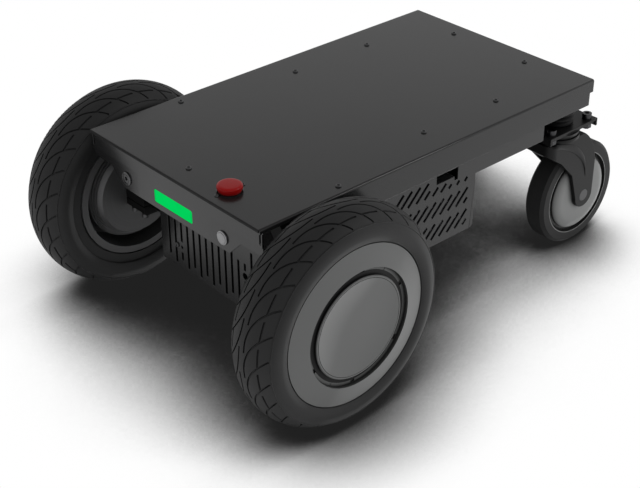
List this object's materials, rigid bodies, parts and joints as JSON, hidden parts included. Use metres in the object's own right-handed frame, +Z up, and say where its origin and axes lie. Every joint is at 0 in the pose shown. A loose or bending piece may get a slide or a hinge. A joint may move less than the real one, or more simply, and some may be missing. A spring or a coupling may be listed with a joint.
{
  "type": "mobile robot platform",
  "caption": "Low mobile robot base with a flat sheet-metal deck, hub-motor drive wheels in front, swivel casters behind, slotted side pods and an emergency stop button.",
  "frame": {"origin": "on the floor under the middle of the platform's outline", "axes": "+X forward towards the drive wheels, +Y to the platform's left, +Z up"},
  "size_m": [0.738, 0.5014, 0.282],
  "materials": {
    "deck_paint": "smooth half-gloss black paint",
    "panel_paint": "smooth half-gloss black paint",
    "frame_paint": "half-gloss black paint",
    "black_rubber": "matt moulded rubber",
    "tyre": "matt tyre rubber",
    "caster_rubber": "matt moulded rubber",
    "wheel_trim": "matt grey moulded plastic",
    "caster_plastic": "matt grey moulded plastic",
    "motor_paint": "turned and blackened casting",
    "mount_alloy": "black anodised, machined",
    "caster_steel": "satin black coat over pressed steel",
    "bright_steel": "turned steel",
    "dull_steel": "dull zinc plate",
    "stator_iron": "stacked iron sheets",
    "black_plastic": "fine-grained moulded plastic",
    "gloss_black": "smooth moulded plastic",
    "red_plastic": "smooth moulded plastic",
    "green_light": "lit diffuser",
    "button_metal": "satin metal",
    "port_metal": "dark anodised",
    "controller_alloy": "anodised extrusion"
  },
  "bodies": {
    "chassis": {"top_cover": "deck_paint", "front_panel": "panel_paint", "deck_seal": "black_rubber", "status_light": "green_light", "power_button_barrel": "button_metal", "charge_port": "port_metal", "battery_box": "panel_paint", "battery_pack": "black_plastic", "rear_beam": "frame_paint", "cross_bar": "frame_paint", "clamp_bolts": "bright_steel", "stop_body": "gloss_black", "deck_screws": "bright_steel", "side_panel_left": "panel_paint", "frame_rail_left": "frame_paint", "motor_mount_left": "mount_alloy", "axle_clamp_left": "mount_alloy", "drive_controller_left": "controller_alloy", "axle_left": "bright_steel", "stator_left": "stator_iron", "caster_buffer_left": "black_rubber", "caster_plate_left": "caster_steel", "caster_bolts_left": "bright_steel", "swivel_plate_left": "caster_steel", "side_panel_right": "panel_paint", "frame_rail_right": "frame_paint", "motor_mount_right": "mount_alloy", "axle_clamp_right": "mount_alloy", "drive_controller_right": "controller_alloy", "axle_right": "bright_steel", "stator_right": "stator_iron", "caster_buffer_right": "black_rubber", "caster_plate_right": "caster_steel", "caster_bolts_right": "bright_steel", "swivel_plate_right": "caster_steel"},
    "drive_wheel_left": {"tyre_left": "tyre", "wheel_rim_left": "motor_paint", "wheel_bearings_left": "bright_steel", "motor_cover_left": "motor_paint", "rim_cover_left": "wheel_trim", "hub_disc_left": "wheel_trim"},
    "caster_swivel_left": {"caster_fork_left": "caster_steel", "caster_axle_left": "dull_steel"},
    "caster_wheel_left": {"caster_core_left": "caster_plastic", "caster_tyre_left": "caster_rubber", "caster_bearings_left": "bright_steel"},
    "drive_wheel_right": {"tyre_right": "tyre", "wheel_rim_right": "motor_paint", "wheel_bearings_right": "bright_steel", "motor_cover_right": "motor_paint", "rim_cover_right": "wheel_trim", "hub_disc_right": "wheel_trim"},
    "caster_swivel_right": {"caster_fork_right": "caster_steel", "caster_axle_right": "dull_steel"},
    "caster_wheel_right": {"caster_core_right": "caster_plastic", "caster_tyre_right": "caster_rubber", "caster_bearings_right": "bright_steel"},
    "stop_head": {"stop_button": "red_plastic"},
    "power_cap": {"power_button": "button_metal"}
  },
  "joints": [
    {"name": "drive_wheel_left_spin", "type": "hinge", "parent": "chassis", "child": "drive_wheel_left", "pos_m": [0.228, 0.21, 0.141], "axis": [0, 1, 0], "continuous": true},
    {"name": "caster_left_swivel", "type": "hinge", "parent": "chassis", "child": "caster_swivel_left", "pos_m": [-0.249, 0.132, 0.18], "axis": [0, 0, 1], "continuous": true},
    {"name": "caster_left_roll", "type": "hinge", "parent": "caster_swivel_left", "child": "caster_wheel_left", "pos_m": [-0.292, 0.132, 0.077], "axis": [0, 1, 0], "continuous": true},
    {"name": "drive_wheel_right_spin", "type": "hinge", "parent": "chassis", "child": "drive_wheel_right", "pos_m": [0.228, -0.21, 0.141], "axis": [0, 1, 0], "continuous": true},
    {"name": "caster_right_swivel", "type": "hinge", "parent": "chassis", "child": "caster_swivel_right", "pos_m": [-0.249, -0.132, 0.18], "axis": [0, 0, 1], "continuous": true},
    {"name": "caster_right_roll", "type": "hinge", "parent": "caster_swivel_right", "child": "caster_wheel_right", "pos_m": [-0.292, -0.132, 0.077], "axis": [0, 1, 0], "continuous": true},
    {"name": "stop_press", "type": "slide", "parent": "chassis", "child": "stop_head", "axis": [0, 0, -1], "range_m": [0, 0.0023], "stiffness_N_per_m": 4000},
    {"name": "power_press", "type": "slide", "parent": "chassis", "child": "power_cap", "axis": [-1, 0, 0], "range_m": [0, 0.0015], "stiffness_N_per_m": 2000}
  ]
}
